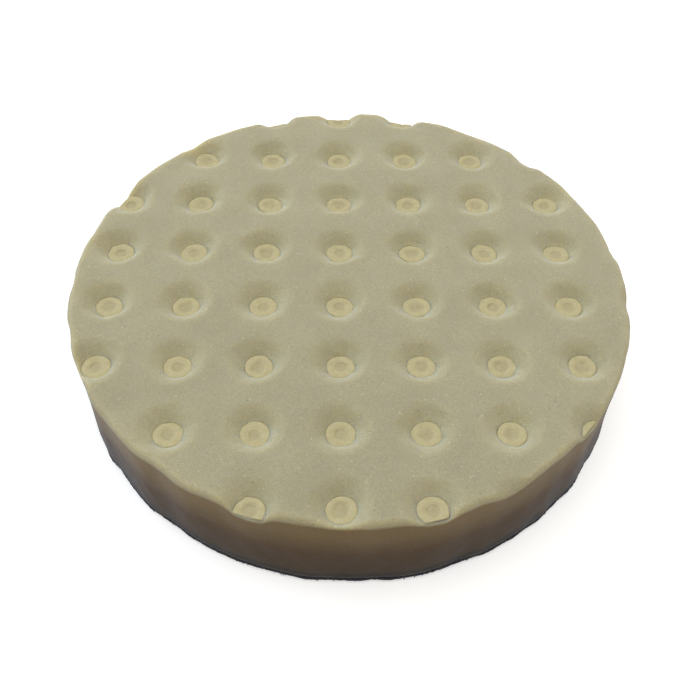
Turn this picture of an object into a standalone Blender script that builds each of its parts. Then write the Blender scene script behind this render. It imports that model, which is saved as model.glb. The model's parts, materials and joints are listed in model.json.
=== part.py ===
"""Foam polishing pad with sealed dimples in its working face and loop fabric on its back.

The pad lies on its loop fabric, working face up. +Z is up, +X runs along the rows of dimples, and the
origin is under the middle of the disc, on the surface that the pad lies on. All sizes are in metres.
"""

import math

import bmesh
import bpy

# Driving dimensions
PAD_RADIUS = 0.06985
PAD_HEIGHT = 0.0268
BOND_GAP = 0.0003  # between bonded layers, and round each plug

PILE_THICKNESS = 0.0008
CLOTH_THICKNESS = 0.0004
FILM_THICKNESS = 0.0002
FABRIC_RADIUS = PAD_RADIUS - 0.0002
FILM_RADIUS = PAD_RADIUS - 0.0015

FACE_EDGE_ROUND = 0.0014
BACK_EDGE_ROUND = 0.0004

# The square lattice of dimples: the one at row 4, column 0 lies nearest the middle of the disc
PITCH = 0.01905
LATTICE_X = -0.0026
LATTICE_Y = -0.0082
MIDDLE_ROW = 4

DIMPLE_RADIUS = 0.0068
DIMPLE_DEPTH = 0.0026
FLOOR_RADIUS = 0.0036
DIMPLE_STEPS = 3
DIMPLE_SEGMENTS = 12

PLUG_RADIUS = FLOOR_RADIUS - BOND_GAP
PLUG_HEIGHT = 0.0012
PLUG_DENT_RADIUS = 0.0015
PLUG_DENT_DEPTH = 0.0004
# A plug that the disc's edge cuts is kept if this much of its width is left
SMALLEST_PLUG = 0.0014

DISC_SEGMENTS = 72
FABRIC_SEGMENTS = 72
EDGE_STEPS = 2

# Heights, from the surface that the pad lies on
CLOTH_BOTTOM = PILE_THICKNESS + BOND_GAP
FILM_BOTTOM = CLOTH_BOTTOM + CLOTH_THICKNESS + BOND_GAP
FOAM_BOTTOM = FILM_BOTTOM + FILM_THICKNESS + BOND_GAP
PLUG_TOP = PAD_HEIGHT - DIMPLE_DEPTH
PLUG_BOTTOM = PLUG_TOP - PLUG_HEIGHT


def clear_scene():
    for found in list(bpy.data.objects):
        bpy.data.objects.remove(found, do_unlink=True)


def make_material(name, colour, roughness, sheen=0.0):
    material = bpy.data.materials.new(name)
    material.use_nodes = True
    shader = material.node_tree.nodes["Principled BSDF"]
    shader.inputs["Base Color"].default_value = (*colour, 1.0)
    shader.inputs["Roughness"].default_value = roughness
    shader.inputs["Metallic"].default_value = 0.0
    shader.inputs["Sheen Weight"].default_value = sheen
    material.diffuse_color = (*colour, 1.0)
    return material


def arc(centre_r, centre_z, radius, start, end, steps):
    """Points of a round corner in the (radius, height) half plane, with angles in degrees."""
    points = []
    for step in range(steps + 1):
        angle = math.radians(start + (end - start) * step / steps)
        point = (centre_r + radius * math.cos(angle), centre_z + radius * math.sin(angle))
        points.append(point)
    return points


def add_turned(bm, profile, segments, x=0.0, y=0.0):
    """Adds a closed turned body: profile is its (radius, height) outline from the bottom to the top."""
    rings = []
    for radius, height in profile:
        ring = []
        for segment in range(segments):
            angle = 2 * math.pi * segment / segments
            place = (x + radius * math.cos(angle), y + radius * math.sin(angle), height)
            ring.append(bm.verts.new(place))
        rings.append(ring)
    for lower, upper in zip(rings, rings[1:]):
        for segment in range(segments):
            after = (segment + 1) % segments
            bm.faces.new((lower[segment], lower[after], upper[after], upper[segment]))
    bm.faces.new(list(reversed(rings[0])))
    bm.faces.new(rings[-1])


def finish_object(name, bm, material):
    mesh = bpy.data.meshes.new(name)
    bm.to_mesh(mesh)
    bm.free()
    mesh.shade_smooth()
    mesh.set_sharp_from_angle(angle=math.radians(40))
    made = bpy.data.objects.new(name, mesh)
    bpy.context.scene.collection.objects.link(made)
    if material is not None:
        mesh.materials.append(material)
    return made


def turned_object(name, profile, segments, material, x=0.0, y=0.0):
    bm = bmesh.new()
    add_turned(bm, profile, segments, x, y)
    return finish_object(name, bm, material)


def hide_cutter(cutter):
    cutter.hide_render = True
    cutter.display_type = "WIRE"


def cut(target, cutter, operation):
    boolean = target.modifiers.new("Cut", "BOOLEAN")
    boolean.operation = operation
    boolean.solver = "EXACT"
    boolean.object = cutter


def lattice_sites(reach):
    """(row, column, x, y) of the dimple centres within this distance of the middle of the disc."""
    sites = []
    most = int(reach / PITCH) + 1
    for row in range(MIDDLE_ROW - most, MIDDLE_ROW + most + 1):
        for column in range(-most, most + 1):
            x = LATTICE_X + column * PITCH
            y = LATTICE_Y + (MIDDLE_ROW - row) * PITCH
            if math.hypot(x, y) <= reach:
                sites.append((row, column, x, y))
    return sites


def site_name(row, column):
    side = "m" if column < 0 else ""
    return f"r{row}_c{side}{abs(column)}"


def dimple_profile():
    """The hollow of one dimple, from the bottom of its plug's seat up to just over the working face."""
    profile = [
        (FLOOR_RADIUS, PLUG_BOTTOM - BOND_GAP),
        (FLOOR_RADIUS, PLUG_TOP),
    ]
    for step in range(1, DIMPLE_STEPS + 1):
        share = step / DIMPLE_STEPS
        radius = FLOOR_RADIUS + (DIMPLE_RADIUS - FLOOR_RADIUS) * share
        rise = math.sin(share * math.pi / 2)
        profile.append((radius, PLUG_TOP + DIMPLE_DEPTH * rise))
    profile.append((DIMPLE_RADIUS, PAD_HEIGHT + BOND_GAP))
    return profile


def plug_profile():
    """A short plug with a dent in the middle of its top, which leaves a flat ring round it."""
    dent_floor_radius = PLUG_DENT_RADIUS - PLUG_DENT_DEPTH
    return [
        (PLUG_RADIUS, PLUG_BOTTOM),
        (PLUG_RADIUS, PLUG_TOP),
        (PLUG_DENT_RADIUS, PLUG_TOP),
        (dent_floor_radius, PLUG_TOP - PLUG_DENT_DEPTH),
    ]


def disc_profile(radius, bottom, top, bottom_round, top_round, steps):
    profile = []
    profile += arc(radius - bottom_round, bottom + bottom_round, bottom_round, -90, 0, steps)
    profile += arc(radius - top_round, top - top_round, top_round, 0, 90, steps)
    return profile


def foam_outline():
    return disc_profile(PAD_RADIUS, FOAM_BOTTOM, PAD_HEIGHT, BACK_EDGE_ROUND, FACE_EDGE_ROUND, EDGE_STEPS)


def make_foam(material, sites):
    foam = turned_object("foam_disc", foam_outline(), DISC_SEGMENTS, material)
    bm = bmesh.new()
    for _, _, x, y in sites:
        add_turned(bm, dimple_profile(), DIMPLE_SEGMENTS, x, y)
    dimples = finish_object("dimple_cutter", bm, None)
    hide_cutter(dimples)
    cut(foam, dimples, "DIFFERENCE")
    return foam


def make_plugs(material, sites):
    """One plug in each dimple. Where the disc's edge passes through a dimple, it cuts the plug too."""
    trim = turned_object("edge_cutter", foam_outline(), DISC_SEGMENTS, None)
    hide_cutter(trim)
    for row, column, x, y in sites:
        from_middle = math.hypot(x, y)
        if from_middle - PLUG_RADIUS > PAD_RADIUS - SMALLEST_PLUG:
            continue
        name = "sealed_dot_" + site_name(row, column)
        plug = turned_object(name, plug_profile(), DIMPLE_SEGMENTS, material, x, y)
        if from_middle + PLUG_RADIUS > PAD_RADIUS - FACE_EDGE_ROUND:
            cut(plug, trim, "INTERSECT")


def make_backing(film_material, cloth_material, pile_material):
    film_top = FILM_BOTTOM + FILM_THICKNESS
    film_profile = [(FILM_RADIUS, FILM_BOTTOM), (FILM_RADIUS, film_top)]
    turned_object("bond_film", film_profile, FABRIC_SEGMENTS, film_material)
    cloth_top = CLOTH_BOTTOM + CLOTH_THICKNESS
    cloth_round = CLOTH_THICKNESS / 4
    cloth_profile = disc_profile(FABRIC_RADIUS, CLOTH_BOTTOM, cloth_top, cloth_round, cloth_round, 1)
    turned_object("loop_ground_cloth", cloth_profile, FABRIC_SEGMENTS, cloth_material)
    pile_round = PILE_THICKNESS / 3
    pile_profile = disc_profile(FABRIC_RADIUS, 0.0, PILE_THICKNESS, pile_round, pile_round, 1)
    turned_object("loop_pile", pile_profile, FABRIC_SEGMENTS, pile_material)


def main():
    clear_scene()
    foam_material = make_material("cream_foam", (0.42, 0.38, 0.26), 0.95, 0.2)
    plug_material = make_material("sealed_cells", (0.48, 0.43, 0.25), 0.45)
    film_material = make_material("bond_film", (0.30, 0.26, 0.18), 0.6)
    cloth_material = make_material("ground_cloth", (0.012, 0.014, 0.022), 0.9, 0.3)
    pile_material = make_material("loop_pile", (0.016, 0.018, 0.028), 0.95, 0.5)
    sites = lattice_sites(PAD_RADIUS + DIMPLE_RADIUS)
    make_foam(foam_material, sites)
    make_plugs(plug_material, sites)
    make_backing(film_material, cloth_material, pile_material)


main()
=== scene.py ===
"""The looks of a foam polishing pad with sealed dimples and a loop-fabric back, round its CAD frame."""

import json
import math

import bmesh
import bpy
import numpy as np
from mathutils import Matrix, Vector
from mathutils.geometry import delaunay_2d_cdt


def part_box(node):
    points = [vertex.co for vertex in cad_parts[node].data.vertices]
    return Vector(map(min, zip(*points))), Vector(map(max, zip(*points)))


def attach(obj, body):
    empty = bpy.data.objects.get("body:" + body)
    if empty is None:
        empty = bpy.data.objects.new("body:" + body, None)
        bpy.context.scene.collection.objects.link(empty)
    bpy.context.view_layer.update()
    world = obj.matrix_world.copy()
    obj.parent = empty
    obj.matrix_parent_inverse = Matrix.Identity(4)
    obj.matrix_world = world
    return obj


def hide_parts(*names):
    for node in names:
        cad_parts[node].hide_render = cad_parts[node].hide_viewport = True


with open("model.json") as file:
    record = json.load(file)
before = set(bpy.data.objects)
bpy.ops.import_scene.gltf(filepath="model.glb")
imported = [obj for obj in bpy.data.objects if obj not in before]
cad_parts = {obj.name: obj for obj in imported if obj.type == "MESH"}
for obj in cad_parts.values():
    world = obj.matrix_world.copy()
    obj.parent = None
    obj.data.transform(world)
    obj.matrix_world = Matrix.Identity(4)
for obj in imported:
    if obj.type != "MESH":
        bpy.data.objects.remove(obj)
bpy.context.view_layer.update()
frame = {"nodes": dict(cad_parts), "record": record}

MM = 0.001
BODY = "root"


# The CAD's own sizes, read from the frame

def box_centre(node):
    low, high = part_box(node)
    return (low + high) / 2


FOAM_LOW, FOAM_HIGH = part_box("foam_disc")
FILM_LOW, FILM_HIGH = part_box("bond_film")
CLOTH_LOW, CLOTH_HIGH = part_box("loop_ground_cloth")
PILE_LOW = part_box("loop_pile")[0]
PAD_RADIUS = (FOAM_HIGH.x - FOAM_LOW.x) / 2
FACE_Z = FOAM_HIGH.z
CLOTH_RADIUS = (CLOTH_HIGH.x - CLOTH_LOW.x) / 2
FILM_RADIUS = (FILM_HIGH.x - FILM_LOW.x) / 2

# The middle dimple of the lattice and its pitch, from two whole dots side by side
ORIGIN_DOT = "sealed_dot_r4_c0"
DOT_LOW, DOT_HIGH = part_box(ORIGIN_DOT)
DOT_RADIUS = (DOT_HIGH.x - DOT_LOW.x) / 2 + 0.15 * MM  # resin fills half of the gap round it
DOT_TOP, DOT_BOTTOM = DOT_HIGH.z, DOT_LOW.z
LATTICE = box_centre(ORIGIN_DOT)
PITCH = (box_centre("sealed_dot_r4_c1") - LATTICE).x
MIDDLE_ROW = 4
DIMPLE_DEPTH = FACE_Z - DOT_TOP

# The dimples in the foam's face
DIMPLE_REACH = 7.3 * MM  # from a dot's middle to where the dimple has eased out to the face
REACH_LEAN = 0.7 * MM  # how much further that is towards LEAN_ANGLE, and nearer away from it
LEAN_ANGLE = math.radians(130)
DIMPLE_FALL = 1.8  # the curve of a dimple's side: 1 is a straight cone
LIP = 0.12 * MM  # how far the foam laps over a dot's edge
LIP_WAVE = 0.28 * MM  # and how much further in places
SEAT_SPARE = 0.1 * MM  # how far a dot's seat reaches under the dot's bottom
SEAT_WALL = 0.15 * MM  # how wide the seat's slanted wall is

# The face and its rim
FACE_WAVE = 0.10 * MM
FACE_GRAIN = 0.035 * MM
EDGE_ROUND = 1.3 * MM
NOTCH_ROUND_SHARE = 0.4  # how much of that rounding is left where the rim cuts a dimple
RIM_SKIN = 0.45 * MM  # the foam left outside a dot that the rim cuts
RIM_SKIN_EASE = 0.25 * MM  # how far in from that skin the seat reaches its full depth
RIM_WAVE = 0.25 * MM
RIM_BUMP_SHARE = 0.15
RIM_GIVE = 6 * MM  # how far in from the rim the face follows the side's shift
NEAR_ROW = 7
RIM_SWELL = 1.0 * MM  # the most that the face stands out by that row's places, but its middle one
SWELL_REACH = 5.5 * MM

# The cut side and its foot
SIDE_LEAN = 0.6 * MM  # how far the foot stands out towards SIDE_LEAN_ANGLE, and in opposite it
SIDE_LEAN_ANGLE = math.radians(-50)
SIDE_HOLLOW = 0.12 * MM  # how far the side bows in halfway up
FOOT_ROUND = 0.5 * MM
FILM_ROOM = 0.4 * MM  # how far past the film's edge the foam's underside starts to come down to it
FILM_LIFT = 0.05 * MM  # and how close above the film it ends
CLOTH_SPREAD = 0.22 * MM  # how far the cloth's cut edge spreads past the CAD cloth's

# How finely the foam is made, with the radii of rings round each dot and the insets of rings along
# the rim in millimetres
DIMPLE_RINGS = (0, 1.6, 2.5, 2.8, 2.95, 3.1, 3.25, 3.4, 3.55, 3.8, 4.1, 4.45, 4.85, 5.3, 5.9, 6.6, 7.4)
RING_POINT_GAP = 0.62 * MM
MOST_RING_POINTS = 56
RIM_INSETS = (2.35, 1.9, 1.5, 1.15, 0.85, 0.6, 0.42, 0.25, 0.1, 0.0)
RIM_BAND = 2.6 * MM  # the band that only the rings along the rim fill
RIM_POINTS = 900
FILL_SPACING = 1.05 * MM
FILL_ROW_SHARE = 0.9
FILL_CLEARANCE = 8.1 * MM
WALL_ROWS = 22
FOOT_ROWS = 3


def site_place(row, column):
    return LATTICE.x + column * PITCH, LATTICE.y + (MIDDLE_ROW - row) * PITCH


def lattice_sites(reach):
    most = int(reach / PITCH) + 1
    sites = []
    for row in range(MIDDLE_ROW - most, MIDDLE_ROW + most + 1):
        for column in range(-most, most + 1):
            x, y = site_place(row, column)
            if math.hypot(x, y) < reach:
                sites.append((row, column, x, y))
    return sites


SITES = lattice_sites(PAD_RADIUS + DIMPLE_REACH + REACH_LEAN)


# Smooth random fields, the same on every run

class Waves:
    """A smooth field made of plane waves with seeded directions, about 1 in size at its peaks."""

    def __init__(self, seed, length, count=14, dimensions=3):
        random = np.random.default_rng(seed)
        directions = random.normal(size=(count, dimensions))
        directions /= np.linalg.norm(directions, axis=1)[:, None]
        lengths = length * random.uniform(0.7, 1.5, count)
        self.vectors = directions * (2 * math.pi / lengths)[:, None]
        self.phases = random.uniform(0, 2 * math.pi, count)
        self.scale = math.sqrt(2 / count) * 0.6

    def at(self, *axes):
        places = np.stack(axes, axis=-1)
        return np.sin(places @ self.vectors.T + self.phases).sum(axis=-1) * self.scale


# Materials

WHITE = (1.0, 1.0, 1.0)
BLACK = (0.0, 0.0, 0.0)
FACE_COLOUR_LOW = (0.375, 0.350, 0.236)
FACE_COLOUR_HIGH = (0.405, 0.378, 0.256)
# painted glints: small pale specks on the face
GLINT_SPECK_COLOUR = (0.60, 0.57, 0.40)
# painted light: paler, yellower foam deep in the dimples, lifting their shade
DIMPLE_LIGHT_TINT = (1.75, 1.70, 1.45)
# painted shade on the cut side: browner and darker from the top down, near black at the foot
WALL_SHADE_STOPS = [  # the cut side's tint, from its foot up
    (0.0, (0.06, 0.055, 0.06)),
    (0.035, (0.19, 0.138, 0.090)),
    (0.45, (0.272, 0.170, 0.084)),
    (1.0, (0.62, 0.47, 0.295)),
]
DOT_COLOUR_LOW = (0.440, 0.392, 0.218)
DOT_COLOUR_HIGH = (0.492, 0.440, 0.256)
# painted shade in the dent at a dot's middle
DENT_SHADE_TINT = (0.87, 0.86, 0.88)


def new_material(name, **constants):
    """A Principled material. constants go on the shader's own sockets, named with _ for each space."""
    material = bpy.data.materials.new(name)
    material.use_nodes = True
    shader = material.node_tree.nodes["Principled BSDF"]
    for socket, value in constants.items():
        shader.inputs[socket.replace("_", " ")].default_value = value
    return material, material.node_tree, shader


def object_coordinates(tree):
    return tree.nodes.new("ShaderNodeTexCoord").outputs["Object"]


def noise(tree, where, scale, detail=2.0, roughness=0.5):
    node = tree.nodes.new("ShaderNodeTexNoise")
    node.inputs["Scale"].default_value = scale
    node.inputs["Detail"].default_value = detail
    node.inputs["Roughness"].default_value = roughness
    tree.links.new(where, node.inputs["Vector"])
    return node.outputs["Fac"]


def cells(tree, where, scale):
    node = tree.nodes.new("ShaderNodeTexVoronoi")
    node.inputs["Scale"].default_value = scale
    tree.links.new(where, node.inputs["Vector"])
    return node.outputs["Distance"]


def ramp(tree, value, stops):
    """A colour ramp over value, with stops as (place, (red, green, blue)) or (place, grey)."""
    node = tree.nodes.new("ShaderNodeValToRGB")
    band = node.color_ramp
    while len(band.elements) < len(stops):
        band.elements.new(0.5)
    for element, (place, colour) in zip(band.elements, stops):
        element.position = place
        shade = colour if isinstance(colour, tuple) else (colour,) * 3
        element.color = (*shade, 1.0)
    tree.links.new(value, node.inputs["Fac"])
    return node.outputs["Color"]


def mix(tree, blend, share, first, second):
    """Mixes two colours; share, first and second are each a socket or a value."""
    node = tree.nodes.new("ShaderNodeMix")
    node.data_type = "RGBA"
    node.blend_type = blend
    colours = [s for s in node.inputs if s.type == "RGBA"]
    for socket, value in zip((node.inputs["Factor"], *colours), (share, first, second)):
        if isinstance(value, bpy.types.NodeSocket):
            tree.links.new(value, socket)
        elif socket.type == "RGBA":
            socket.default_value = (*value, 1.0)
        else:
            socket.default_value = value
    return [s for s in node.outputs if s.type == "RGBA"][0]


def bump(tree, height, distance, strength, below=None):
    node = tree.nodes.new("ShaderNodeBump")
    node.inputs["Strength"].default_value = strength
    node.inputs["Distance"].default_value = distance
    tree.links.new(height, node.inputs["Height"])
    if below is not None:
        tree.links.new(below, node.inputs["Normal"])
    return node.outputs["Normal"]


def between(tree, value, low, high):
    """0 below low, 1 above high, and smooth in between."""
    node = tree.nodes.new("ShaderNodeMapRange")
    node.interpolation_type = "SMOOTHSTEP"
    node.inputs["From Min"].default_value = low
    node.inputs["From Max"].default_value = high
    tree.links.new(value, node.inputs["Value"])
    return node.outputs["Result"]


def height_of(tree, where):
    parts = tree.nodes.new("ShaderNodeSeparateXYZ")
    tree.links.new(where, parts.inputs["Vector"])
    return parts.outputs["Z"]


def attribute(tree, name):
    node = tree.nodes.new("ShaderNodeAttribute")
    node.attribute_name = name
    return node.outputs["Fac"]


def foam_material():
    """Cream foam, with painted shade that makes it browner and darker down the cut side, and painted light
    that makes it paler and yellower deep in each dimple, most round a dot.
    """
    material, tree, shader = new_material(
        "open_cell_foam",
        Roughness=0.85,
        Specular_IOR_Level=0.2,
        Sheen_Weight=0.22,
        Sheen_Roughness=0.4,
        Sheen_Tint=(0.62, 0.76, 1.0, 1.0),
        Subsurface_Weight=1.0,
        Subsurface_Radius=(1.0, 0.80, 0.40),
        Subsurface_Scale=6.5 * MM,
    )
    where = object_coordinates(tree)
    mottle = ramp(tree, noise(tree, where, 90, 3), [(0.3, FACE_COLOUR_LOW), (0.7, FACE_COLOUR_HIGH)])
    # painted shade down the cut side, by height
    up_share = between(tree, height_of(tree, where), FOAM_LOW.z, FACE_Z - 1.0 * MM)
    wall_shade = ramp(tree, up_share, WALL_SHADE_STOPS)
    wall_shade_tint = mix(tree, "MIX", attribute(tree, "side"), WHITE, wall_shade)
    # painted light deep in the dimples
    dimple_light_tint = mix(tree, "MIX", attribute(tree, "dimple_light"), WHITE, DIMPLE_LIGHT_TINT)
    mottle = mix(tree, "MULTIPLY", 1.0, mottle, dimple_light_tint)
    colour = mix(tree, "MULTIPLY", 1.0, mottle, wall_shade_tint)
    grain = ramp(tree, noise(tree, where, 2600, 2, 0.6), [(0.25, 0.86), (0.5, 1.0), (0.75, 1.12)])
    colour = mix(tree, "MULTIPLY", 1.0, colour, grain)
    # painted shade in the pores: small dark spots
    pore_shade = ramp(tree, cells(tree, where, 330), [(0.04, 0.75), (0.09, 1.0)])
    colour = mix(tree, "MULTIPLY", 1.0, colour, pore_shade)
    # painted glints: small pale specks, none on the cut side
    glint_specks = ramp(tree, cells(tree, where, 520), [(0.05, 0.8), (0.12, 0.0)])
    glint_specks = mix(tree, "MIX", attribute(tree, "side"), glint_specks, BLACK)
    colour = mix(tree, "MIX", glint_specks, colour, GLINT_SPECK_COLOUR)
    tree.links.new(colour, shader.inputs["Base Color"])
    fine = bump(tree, noise(tree, where, 2200, 3, 0.6), 0.12 * MM, 0.6)
    coarse = bump(tree, noise(tree, where, 500, 2), 0.15 * MM, 0.4, fine)
    tree.links.new(coarse, shader.inputs["Normal"])
    return material


def sealed_material():
    """Foam cells closed with set resin: yellower and glossier than the foam, with painted shade that
    darkens the dent.
    """
    material, tree, shader = new_material(
        "resin_sealed_cells",
        Specular_IOR_Level=0.3,
        Subsurface_Weight=0.3,
        Subsurface_Radius=(1.0, 0.8, 0.4),
        Subsurface_Scale=0.6 * MM,
    )
    where = object_coordinates(tree)
    base = ramp(tree, noise(tree, where, 700, 3), [(0.3, DOT_COLOUR_LOW), (0.7, DOT_COLOUR_HIGH)])
    # painted shade in the dent
    colour = mix(tree, "MULTIPLY", attribute(tree, "dent_shade"), base, DENT_SHADE_TINT)
    grain = ramp(tree, noise(tree, where, 3000, 2, 0.6), [(0.3, 0.92), (0.7, 1.07)])
    colour = mix(tree, "MULTIPLY", 1.0, colour, grain)
    tree.links.new(colour, shader.inputs["Base Color"])
    normal = bump(tree, noise(tree, where, 1800, 3), 0.06 * MM, 0.5)
    tree.links.new(normal, shader.inputs["Normal"])
    rough = ramp(tree, noise(tree, where, 1200, 2), [(0.3, 0.50), (0.7, 0.66)])
    tree.links.new(rough, shader.inputs["Roughness"])
    return material


def cloth_material():
    material, tree, shader = new_material(
        "knitted_ground", Roughness=0.9, Sheen_Weight=0.08, Sheen_Tint=(0.55, 0.60, 0.75, 1.0)
    )
    where = object_coordinates(tree)
    wale = tree.nodes.new("ShaderNodeTexWave")
    wale.inputs["Scale"].default_value = 260
    wale.inputs["Distortion"].default_value = 2.5
    wale.inputs["Detail Scale"].default_value = 3.0
    tree.links.new(where, wale.inputs["Vector"])
    shade = ramp(tree, wale.outputs["Fac"], [(0.2, (0.006, 0.007, 0.011)), (0.8, (0.016, 0.018, 0.027))])
    tree.links.new(shade, shader.inputs["Base Color"])
    knit = bump(tree, wale.outputs["Fac"], 0.12 * MM, 0.8)
    fuzz = bump(tree, noise(tree, where, 3500, 2), 0.06 * MM, 0.7, knit)
    tree.links.new(fuzz, shader.inputs["Normal"])
    return material


def loop_material():
    material, tree, shader = new_material(
        "brushed_loops", Roughness=0.6, Sheen_Weight=0.1, Sheen_Tint=(0.6, 0.65, 0.8, 1.0)
    )
    where = object_coordinates(tree)
    dark, light = (0.008, 0.009, 0.014), (0.020, 0.022, 0.032)
    shade = ramp(tree, noise(tree, where, 300, 3), [(0.3, dark), (0.7, light)])
    tree.links.new(shade, shader.inputs["Base Color"])
    twist = bump(tree, noise(tree, where, 9000, 2), 0.03 * MM, 0.7)
    tree.links.new(twist, shader.inputs["Normal"])
    return material


def film_material():
    material, tree, shader = new_material("hot_melt_film", Roughness=0.4)
    where = object_coordinates(tree)
    shade = ramp(tree, noise(tree, where, 400, 3), [(0.3, (0.22, 0.18, 0.12)), (0.7, (0.30, 0.25, 0.17))])
    tree.links.new(shade, shader.inputs["Base Color"])
    melt = bump(tree, noise(tree, where, 1500, 2), 0.05 * MM, 0.6)
    tree.links.new(melt, shader.inputs["Normal"])
    return material


# Pieces

def add_piece(name, mesh, material, slot, *nodes):
    """A visible piece that rides the body and stands for the CAD nodes."""
    made = bpy.data.objects.new(name, mesh)
    bpy.context.scene.collection.objects.link(made)
    mesh.materials.append(material)
    mesh.shade_smooth()
    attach(made, BODY)
    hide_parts(*nodes)
    return made


def finished_mesh(bm, name):
    bmesh.ops.recalc_face_normals(bm, faces=bm.faces)
    mesh = bpy.data.meshes.new(name)
    bm.to_mesh(mesh)
    bm.free()
    return mesh


def join_rings(bm, upper, lower):
    """Quads between two rings of points."""
    for i in range(len(upper)):
        after = (i + 1) % len(upper)
        bm.faces.new((upper[i], lower[i], lower[after], upper[after]))


def add_ring(bm, above, places):
    """A new ring of points under the one above, joined to it."""
    ring = [bm.verts.new(p) for p in places]
    join_rings(bm, above, ring)
    return ring


def polar(x, y, site_x, site_y):
    """How far a place is from a site, and in which direction."""
    return np.hypot(x - site_x, y - site_y), np.arctan2(y - site_y, x - site_x)


def hole_radius(x, y):
    """The foam's uneven lip, which laps over each dot's edge a little."""
    return DOT_RADIUS - LIP - LIP_WAVE * np.clip(Waves(6, 4 * MM, dimensions=2).at(x, y), 0, 1)


def face_drop(x, y):
    """How far the foam's face lies below its flat level: the dimples, each easing out to the face."""
    drop = np.zeros_like(x)
    ragged = Waves(5, 9 * MM, dimensions=2).at(x, y)
    hole = hole_radius(x, y)
    for _, _, site_x, site_y in SITES:
        from_site, towards = polar(x, y, site_x, site_y)
        reach = (DIMPLE_REACH + REACH_LEAN * np.cos(towards - LEAN_ANGLE)) * (1 + 0.05 * ragged)
        share = np.clip((from_site - hole) / (reach - hole), 0, 1)
        drop = np.maximum(drop, DIMPLE_DEPTH * (1 - share) ** DIMPLE_FALL)
    return drop


def seat_drop(x, y):
    """The pocket under each dot, from just inside the foam's lip."""
    drop = np.zeros_like(x)
    deep = DOT_TOP - DOT_BOTTOM + SEAT_SPARE
    hole = hole_radius(x, y)
    for _, _, site_x, site_y in SITES:
        from_site = polar(x, y, site_x, site_y)[0]
        drop = np.maximum(drop, deep * np.clip((hole - from_site) / SEAT_WALL, 0, 1))
    skin = PAD_RADIUS - RIM_SKIN - np.hypot(x, y)
    return drop * np.clip(skin / RIM_SKIN_EASE, 0, 1)


RIM_WAVES = Waves(21, 12 * MM)
RIM_BUMPS = Waves(23, 4.5 * MM, 30)
RIM_GRAIN = Waves(22, 1.3 * MM, 30)


def rim_shift(x, y, z):
    """How far the hand-cut side stands out from a true circle; its waves run long up and down."""
    waves = RIM_WAVE * (RIM_WAVES.at(x, y, z * 0.5) + RIM_BUMP_SHARE * RIM_BUMPS.at(x, y, z))
    lean = SIDE_LEAN * (1 - z / FACE_Z) * np.cos(np.arctan2(y, x) - SIDE_LEAN_ANGLE)
    swell = np.zeros_like(waves)
    for row, column, site_x, site_y in SITES:
        if row == NEAR_ROW and column != 0:
            swell = np.maximum(swell, np.exp(-(polar(x, y, site_x, site_y)[0] / SWELL_REACH) ** 2))
    return waves + lean + RIM_SWELL * swell * z / FACE_Z


def pushed(x, y, z, share):
    """Places moved out from the disc's axis by a share of the side's shift."""
    out = share * (rim_shift(x, y, z) + 0.3 * FACE_GRAIN * RIM_GRAIN.at(x, y, z))
    grown = 1 + out / np.maximum(np.hypot(x, y), MM)
    return x * grown, y * grown


def circle(x, y, radius, count, turn=0.0):
    """Places evenly round a circle, starting turn steps along it."""
    angles = [2 * math.pi * (step + turn) / count for step in range(count)]
    return [(x + radius * math.cos(a), y + radius * math.sin(a)) for a in angles]


def face_points():
    """Places over the disc: rings round each dimple, an even fill between them, and rings along the rim."""
    points = []
    for number, (_, _, site_x, site_y) in enumerate(SITES):
        for ring, size in enumerate(DIMPLE_RINGS):
            radius = size * MM
            count = max(1, min(MOST_RING_POINTS, int(2 * math.pi * radius / RING_POINT_GAP)))
            points += circle(site_x, site_y, radius, count, 0.5 * (ring % 2) + 0.3 * number)
    sites = np.array([(x, y) for _, _, x, y in SITES])
    reach = int(PAD_RADIUS / FILL_SPACING) + 1
    for i in range(-reach, reach + 1):
        for j in range(-reach, reach + 1):
            x = (i + 0.5 * (j % 2)) * FILL_SPACING
            y = j * FILL_SPACING * FILL_ROW_SHARE
            if np.hypot(sites[:, 0] - x, sites[:, 1] - y).min() > FILL_CLEARANCE:
                points.append((x, y))
    points = [p for p in points if math.hypot(*p) < PAD_RADIUS - RIM_BAND]
    for inset in RIM_INSETS:
        points += circle(0, 0, PAD_RADIUS - inset * MM, RIM_POINTS)
    return points


def face_height(x, y, drop):
    """The foam's face: its dimples and seats, the rounded rim, and slight waves and grain."""
    inset = np.clip(PAD_RADIUS - np.hypot(x, y), 0, EDGE_ROUND)
    round_share = 1 - (1 - NOTCH_ROUND_SHARE) * drop / DIMPLE_DEPTH
    rounding = round_share * (EDGE_ROUND - np.sqrt(EDGE_ROUND**2 - (EDGE_ROUND - inset) ** 2))
    sag = FACE_WAVE * Waves(11, 16 * MM, dimensions=2).at(x, y)
    grain = FACE_GRAIN * Waves(12, 1.6 * MM, 40, dimensions=2).at(x, y)
    return FACE_Z - drop - rounding - seat_drop(x, y) + sag + grain - FACE_WAVE


def side_rows(rim_z):
    """How far in and how high each row of the cut side is, down to the end of its rounded foot."""
    rows = []
    foot_top = FOAM_LOW.z + FOOT_ROUND
    for row in range(1, WALL_ROWS + 1):
        share = row / WALL_ROWS
        rows.append((SIDE_HOLLOW * math.sin(math.pi * share), rim_z + (foot_top - rim_z) * share))
    for row in range(1, FOOT_ROWS + 1):
        angle = math.pi / 2 * row / FOOT_ROWS
        level = FOAM_LOW.z + FOOT_ROUND * (1 - math.sin(angle))
        rows.append((FOOT_ROUND * (1 - math.cos(angle)), np.full_like(rim_z, level)))
    return rows


# how strongly painted light pales the foam in the dimples
DIMPLE_LIGHT_BY_DEPTH = 0.42
DIMPLE_LIGHT_FALL = 1.15
DIMPLE_LIGHT_BY_DOT = 0.45
DIMPLE_LIGHT_RIM_FADE = 3 * MM
DIMPLE_LIGHT_RIM_LEAST = 0.2


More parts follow.
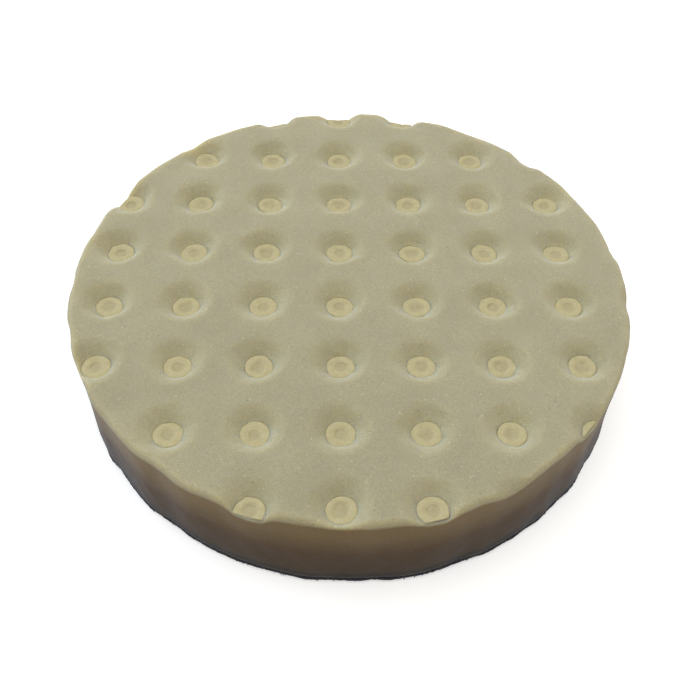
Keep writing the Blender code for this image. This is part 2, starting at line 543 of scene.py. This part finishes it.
def dimple_light_share(depth_share, from_rim):
    """How much painted light pales the foam: with its depth in a dimple, and most beside the dot."""
    near_dot = min(1.0, max(0.0, (depth_share - 0.75) / 0.2))
    rim_fade = min(1.0, max(DIMPLE_LIGHT_RIM_LEAST, from_rim / DIMPLE_LIGHT_RIM_FADE))
    return (DIMPLE_LIGHT_BY_DEPTH * depth_share**DIMPLE_LIGHT_FALL + DIMPLE_LIGHT_BY_DOT * near_dot) * rim_fade


def foam_mesh():
    """The foam disc: its face, the cut side, and an underside that comes down to the bond film."""
    places, _, faces, _, _, _ = delaunay_2d_cdt([Vector(p) for p in face_points()], [], [], 0, 1e-7)
    places = np.array([tuple(p) for p in places])
    x, y = places[:, 0], places[:, 1]
    radius = np.hypot(x, y)
    drop = face_drop(x, y)
    height = face_height(x, y, drop)
    rim_share = np.clip(1 - (PAD_RADIUS - radius) / RIM_GIVE, 0, 1) ** 2

    bm = bmesh.new()
    side = bm.verts.layers.float.new("side")
    dimple_light = bm.verts.layers.float.new("dimple_light")
    top = [bm.verts.new(p) for p in zip(*pushed(x, y, height, rim_share), height)]
    # painted light, strongest deep in a dimple and beside its dot
    for vert, share in zip(top, drop / DIMPLE_DEPTH):
        vert[dimple_light] = dimple_light_share(share, PAD_RADIUS - math.hypot(vert.co.x, vert.co.y))
    for face in faces:
        bm.faces.new([top[i] for i in face])

    rim = [i for i in range(len(top)) if radius[i] > PAD_RADIUS - 0.01 * MM]
    rim.sort(key=lambda i: math.atan2(y[i], x[i]))
    above = [top[i] for i in rim]
    rim_x, rim_y = x[rim], y[rim]
    for inset, level in side_rows(height[rim]):
        shrink = 1 - inset / PAD_RADIUS
        above = add_ring(bm, above, zip(*pushed(rim_x * shrink, rim_y * shrink, level, 1.0), level))
        for vert in above:
            vert[side] = 1.0
    step_in = (FILM_RADIUS + FILM_ROOM) / PAD_RADIUS
    for level in (FOAM_LOW.z, FILM_HIGH.z + FILM_LIFT):
        above = add_ring(bm, above, [(px * step_in, py * step_in, level) for px, py in zip(rim_x, rim_y)])
    bm.faces.new(above)
    return finished_mesh(bm, "foam")


DOT_SEGMENTS = 48
DOT_EDGE_ROUND = 0.10 * MM
DOT_PROUD = 0.08 * MM  # how far the dot's level is over the CAD dot's top
DENT_SLOPE = 0.13 * MM
DENT_SHADE_SLOPE = 0.18 * MM
FINE_RING_HEIGHT = 0.05 * MM
FINE_RING_PITCH = 0.75 * MM
RAISED_RING_HEIGHT = 0.10 * MM
RAISED_RING_RADIUS = 2.6 * MM
RAISED_RING_WIDTH = 0.45 * MM
CENTRE_REACH = 2.4 * MM  # how far out the rings follow the dent when it is off centre
DOT_RINGS = (0.35, 0.7, 1.0, 1.2, 1.35, 1.5, 1.65, 1.85, 2.05, 2.25, 2.45, 2.65, 2.8, 2.95)
DOT_RIM_SHARES = (0.93, 0.965, 0.985, 1.0)


def dot_top(radius, dent_radius, dent_depth):
    """How high a dot's top is at a radius: the dent, fine rings, a raised ring and the rolled rim."""
    height = -dent_depth * (1 - 1 / (1 + math.exp(-(radius - dent_radius) / DENT_SLOPE)))
    height += FINE_RING_HEIGHT * math.cos(2 * math.pi * radius / FINE_RING_PITCH) * (radius > dent_radius)
    height += RAISED_RING_HEIGHT * math.exp(-(((radius - RAISED_RING_RADIUS) / RAISED_RING_WIDTH) ** 2))
    edge = DOT_RADIUS - DOT_EDGE_ROUND
    if radius > edge:
        over = (radius - edge) / (DOT_RADIUS - edge)
        height -= DOT_EDGE_ROUND * (1 - math.sqrt(max(0.0, 1 - over * over)))
    return height


def dot_mesh(seed, x, y):
    """A sealed dot: a hard, slightly oval button with an uneven ringed top and a dent near its middle."""
    random = np.random.default_rng(seed)
    dent_radius = random.uniform(1.25, 1.65) * MM
    dent_depth = random.uniform(0.22, 0.38) * MM
    lean_x, lean_y = random.normal(0, 0.03, 2)
    oval = random.uniform(0.0, 0.05)
    turn = random.uniform(0, math.pi)
    shift_x, shift_y = random.normal(0, 0.12 * MM, 2)
    lumps = Waves(seed, 2.2 * MM, 10, dimensions=2)
    fine = Waves(seed + 500, 0.6 * MM, 20, dimensions=2)

    def ring_at(radius):
        centre_share = max(0.0, 1 - radius / CENTRE_REACH)
        places = []
        for step in range(DOT_SEGMENTS):
            angle = 2 * math.pi * step / DOT_SEGMENTS
            reach = radius * (1 + oval * math.cos(2 * (angle - turn)) * radius / DOT_RADIUS)
            px = reach * math.cos(angle) + shift_x * centre_share
            py = reach * math.sin(angle) + shift_y * centre_share
            places.append((px, py))
        return places

    rings = []
    for radius in [r * MM for r in DOT_RINGS] + [DOT_RADIUS * share for share in DOT_RIM_SHARES]:
        level = DOT_TOP + DOT_PROUD + dot_top(radius, dent_radius, dent_depth)
        ring = []
        for px, py in ring_at(radius):
            rough = 0.06 * MM * lumps.at(px, py) + 0.018 * MM * fine.at(px, py)
            ring.append((px, py, level + rough + lean_x * px + lean_y * py))
        rings.append(ring)
    rings.append([(px, py, DOT_BOTTOM) for px, py in ring_at(DOT_RADIUS)])

    bm = bmesh.new()
    centre = bm.verts.new((shift_x, shift_y, DOT_TOP - dent_depth))
    made = [[bm.verts.new(p) for p in ring] for ring in rings]
    for i in range(DOT_SEGMENTS):
        bm.faces.new((centre, made[0][i], made[0][(i + 1) % DOT_SEGMENTS]))
    for inner, outer in zip(made, made[1:]):
        join_rings(bm, inner, outer)
    bm.faces.new(list(reversed(made[-1])))
    # where painted shade darkens the dent
    dent_shade = bm.verts.layers.float.new("dent_shade")
    for vert in bm.verts:
        from_dent = math.hypot(vert.co.x - shift_x, vert.co.y - shift_y)
        vert[dent_shade] = 1 / (1 + math.exp((from_dent - dent_radius) / DENT_SHADE_SLOPE))
    bmesh.ops.translate(bm, verts=bm.verts, vec=(x, y, 0))
    trim_to_edge(bm, x, y)
    return finished_mesh(bm, "dot")


TRIM_MARGIN = 0.5 * MM
TRIM_OVERLAP = 0.05 * MM  # how far a cut dot goes into the skin of foam outside it


def trim_to_edge(bm, x, y):
    """Cuts a dot near the rim with an upright plane that runs just inside the disc's side."""
    middle = math.hypot(x, y)
    if middle + DOT_RADIUS < PAD_RADIUS - RIM_SKIN - TRIM_MARGIN:
        return
    outward = Vector((x / middle, y / middle, 0))
    rim = outward * PAD_RADIUS
    shift = rim_shift(np.array([rim.x]), np.array([rim.y]), np.array([DOT_TOP]))[0]
    plane = outward * (PAD_RADIUS + shift - RIM_SKIN + TRIM_OVERLAP)
    parts = bm.verts[:] + bm.edges[:] + bm.faces[:]
    cut = bmesh.ops.bisect_plane(bm, geom=parts, plane_co=plane, plane_no=outward, clear_outer=True)
    edges = [e for e in cut["geom_cut"] if isinstance(e, bmesh.types.BMEdge)]
    bmesh.ops.holes_fill(bm, edges=edges, sides=0)


def make_dots(material):
    """A dot in every place of the lattice where the CAD has one."""
    shown = {s["node"] for s in frame["record"]["subparts"]}
    for number, (row, column, x, y) in enumerate(SITES):
        side = "m" if column < 0 else ""
        node = f"sealed_dot_r{row}_c{side}{abs(column)}"
        if node not in shown:
            continue
        mesh = dot_mesh(number + 1, x, y)
        add_piece(f"resin_dot_r{row}_c{side}{abs(column)}", mesh, material, "sealed_cells", node)


CLOTH_SEGMENTS = 720
CLOTH_WAVER = 0.12 * MM
CLOTH_FRAY = 0.06 * MM


def cloth_mesh():
    """The knitted ground: a thin disc whose frayed, wavering edge is thick enough to meet the foam."""
    angles = 2 * math.pi * np.arange(CLOTH_SEGMENTS) / CLOTH_SEGMENTS
    around = np.stack((np.cos(angles), np.sin(angles)))
    waver = CLOTH_WAVER * Waves(31, 6 * MM, dimensions=2).at(*(CLOTH_RADIUS * around))
    fray = CLOTH_FRAY * Waves(32, 0.9 * MM, 30, dimensions=2).at(*(CLOTH_RADIUS * around))
    side_shift = rim_shift(*(PAD_RADIUS * around), np.full(CLOTH_SEGMENTS, FOAM_LOW.z))
    edge_low, edge_high = CLOTH_LOW.z - 0.30 * MM, FOAM_LOW.z - 0.02 * MM
    flat_low = CLOTH_LOW.z - 0.05 * MM
    lip = (FILM_RADIUS + 0.5 * MM) / CLOTH_RADIUS
    rows = [
        (0.5, CLOTH_HIGH.z),
        (lip - 0.004, CLOTH_HIGH.z),
        (lip, edge_high),
        (0.997, edge_high),
        (1.0, (edge_low + edge_high) / 2),
        (0.997, edge_low),
        (lip, edge_low),
        (lip - 0.004, flat_low),
        (0.5, flat_low),
    ]
    bm = bmesh.new()
    rings = []
    for share, z in rows:
        radius = share * CLOTH_RADIUS + (waver + fray) * share**8
        if share > 0.95:
            radius = radius + side_shift + CLOTH_SPREAD
        rings.append([bm.verts.new((r * math.cos(a), r * math.sin(a), z)) for r, a in zip(radius, angles)])
    for upper, lower in zip(rings, rings[1:]):
        join_rings(bm, upper, lower)
    bm.faces.new(rings[0])
    bm.faces.new(list(reversed(rings[-1])))
    return finished_mesh(bm, "cloth")


LOOP_SPACING = 2.25 * MM
LOOP_ROW_SHARE = 0.87
LOOP_SCATTER = 0.2 * MM
RIM_LOOPS = 1050
LOOP_STEPS = 7
LOOP_SIDES = 3
THREAD_RADIUS = 0.075 * MM
OFF_AXIS = (0.31, 0.17, 0.93)  # any direction that no thread follows


def loop_path(random, x, y, outward):
    """One brushed loop: it leaves the cloth, leans over and comes back to the cloth beside its start."""
    turn = random.uniform(0, 2 * math.pi)
    width = random.uniform(0.6, 1.3) * MM
    if outward.any():
        width *= 0.5
    tall = random.uniform(0.75, 1.0) * (CLOTH_LOW.z - PILE_LOW.z - THREAD_RADIUS)
    lean = random.normal(0, (0.12 if outward.any() else 0.3) * MM, 2) + outward
    along = np.array([math.cos(turn), math.sin(turn)])
    points = []
    for step in range(LOOP_STEPS + 1):
        angle = math.pi * step / LOOP_STEPS
        sideways = -math.cos(angle) * width * (0.5 + 0.35 * math.sin(angle))
        drop = math.sin(angle)
        place = np.array([x, y]) + along * sideways + lean * drop
        points.append((place[0], place[1], CLOTH_LOW.z + 0.02 * MM - tall * drop))
    return points


def pile_mesh():
    """Thread loops all over the cloth's underside, and a closer row of them along its edge."""
    random = np.random.default_rng(41)
    starts = []
    reach = int(CLOTH_RADIUS / LOOP_SPACING) + 1
    for i in range(-reach, reach + 1):
        for j in range(-reach, reach + 1):
            x = (i + 0.5 * (j % 2)) * LOOP_SPACING + random.normal(0, LOOP_SCATTER)
            y = j * LOOP_SPACING * LOOP_ROW_SHARE + random.normal(0, LOOP_SCATTER)
            if math.hypot(x, y) < CLOTH_RADIUS - 1.0 * MM:
                starts.append((x, y, np.zeros(2)))
    for i in range(RIM_LOOPS):
        angle = 2 * math.pi * (i + random.uniform(-0.3, 0.3)) / RIM_LOOPS
        direction = np.array((math.cos(angle), math.sin(angle)))
        rim = PAD_RADIUS * direction[:, None]
        shift = rim_shift(rim[0], rim[1], np.array([FOAM_LOW.z]))[0]
        radius = CLOTH_RADIUS + CLOTH_SPREAD + shift - random.uniform(0.45, 1.0) * MM
        push = random.uniform(-0.1, 0.05) * MM
        starts.append((*(radius * direction), push * direction))
    places, faces = [], []
    for x, y, outward in starts:
        add_thread(places, faces, loop_path(random, x, y, outward))
    mesh = bpy.data.meshes.new("loops")
    mesh.from_pydata(places, [], faces)
    mesh.update()
    return mesh


def add_thread(places, faces, path):
    """Adds a thin closed tube along a path to the lists of places and faces."""
    path = np.array(path)
    start = len(places)
    for step, point in enumerate(path):
        ahead = path[min(step + 1, len(path) - 1)] - path[max(step - 1, 0)]
        ahead /= np.linalg.norm(ahead)
        across = np.cross(ahead, OFF_AXIS)
        across /= np.linalg.norm(across)
        third = np.cross(ahead, across)
        for side in range(LOOP_SIDES):
            angle = 2 * math.pi * side / LOOP_SIDES
            offset = across * math.cos(angle) + third * math.sin(angle)
            places.append(tuple(point + offset * THREAD_RADIUS))
    for step in range(len(path) - 1):
        for side in range(LOOP_SIDES):
            after = (side + 1) % LOOP_SIDES
            low, high = start + step * LOOP_SIDES, start + (step + 1) * LOOP_SIDES
            faces.append((low + side, low + after, high + after, high + side))
    faces.append(tuple(start + side for side in reversed(range(LOOP_SIDES))))
    last = start + (len(path) - 1) * LOOP_SIDES
    faces.append(tuple(last + side for side in range(LOOP_SIDES)))


def make_pad():
    foam = add_piece("cut_foam_disc", foam_mesh(), foam_material(), "foam", "foam_disc")
    make_dots(sealed_material())
    loops = add_piece("brushed_loop_pile", pile_mesh(), loop_material(), "loop_pile", "loop_pile")
    knit = cloth_material()
    cloth = add_piece("knit_ground_cloth", cloth_mesh(), knit, "ground_cloth", "loop_ground_cloth")
    film = frame["nodes"]["bond_film"]
    film.data.materials.clear()
    film.data.materials.append(film_material())


# The stage

FLOOR_SIZE = 8


def make_floor():
    """A pale floor that glows a little, as a light table does, and throws no light up at the pad's side."""
    bpy.ops.mesh.primitive_plane_add(size=FLOOR_SIZE, location=(0, 0, PILE_LOW.z - 0.02 * MM))
    floor = bpy.context.object
    floor.name = "floor"
    floor.visible_diffuse = False
    material, _, _ = new_material(
        "pale_floor",
        Base_Color=(0.90, 0.90, 0.90, 1.0),
        Roughness=0.9,
        Specular_IOR_Level=0.1,
        Emission_Color=(1.0, 1.0, 1.0, 1.0),
        Emission_Strength=0.40,
    )
    floor.data.materials.append(material)


def add_sun(name, energy, angle, colour, direction):
    """A far light; angle is how wide it looks, in degrees, and direction is the way that it shines."""
    data = bpy.data.lights.new(name, "SUN")
    data.energy = energy
    data.angle = math.radians(angle)
    data.color = colour
    light = bpy.data.objects.new(name, data)
    bpy.context.scene.collection.objects.link(light)
    light.rotation_mode = "QUATERNION"
    light.rotation_quaternion = Vector(direction).to_track_quat("-Z", "Y")


def make_lights():
    """A dim warm room, one broad soft light overhead, and a cooler one behind the pad's left."""
    world = bpy.data.worlds.new("studio")
    bpy.context.scene.world = world
    world.use_nodes = True
    background = world.node_tree.nodes["Background"]
    background.inputs["Color"].default_value = (1.0, 0.92, 0.80, 1.0)
    background.inputs["Strength"].default_value = 0.42
    add_sun("key", 2.02, 110, (0.97, 0.98, 1.0), (0.10, -0.15, -1.0))
    add_sun("cool_edge", 0.75, 50, (0.50, 0.73, 1.0), (0.75, -0.55, -0.55))


# The camera, which looks down at a point near the front of the working face

CAMERA_ELEVATION = math.radians(50.317)
CAMERA_AZIMUTH = math.radians(-1.756)
CAMERA_ROLL = math.radians(1.374)
CAMERA_DISTANCE = 205.91 * MM
CAMERA_TARGET = Vector((-0.445 * MM, -24.04 * MM, FACE_Z))
CAMERA_LENS = 45.08
SENSOR_WIDTH = 36


def make_camera():
    rise, side = CAMERA_ELEVATION, CAMERA_AZIMUTH
    back = Vector((math.sin(side) * math.cos(rise), -math.cos(side) * math.cos(rise), math.sin(rise)))
    right = Vector((math.cos(side), math.sin(side), 0))
    up = back.cross(right)
    rolled_right = right * math.cos(CAMERA_ROLL) + up * math.sin(CAMERA_ROLL)
    rolled_up = up * math.cos(CAMERA_ROLL) - right * math.sin(CAMERA_ROLL)
    data = bpy.data.cameras.new("camera")
    data.lens = CAMERA_LENS
    data.sensor_width = SENSOR_WIDTH
    data.clip_start = 0.01
    data.clip_end = 20
    camera = bpy.data.objects.new("camera", data)
    bpy.context.scene.collection.objects.link(camera)
    turned = Matrix((rolled_right, rolled_up, back)).transposed()
    camera.matrix_world = Matrix.Translation(CAMERA_TARGET + back * CAMERA_DISTANCE) @ turned.to_4x4()
    bpy.context.scene.camera = camera


make_pad()
make_floor()
make_lights()
make_camera()
bpy.context.scene.view_settings.view_transform = "Standard"
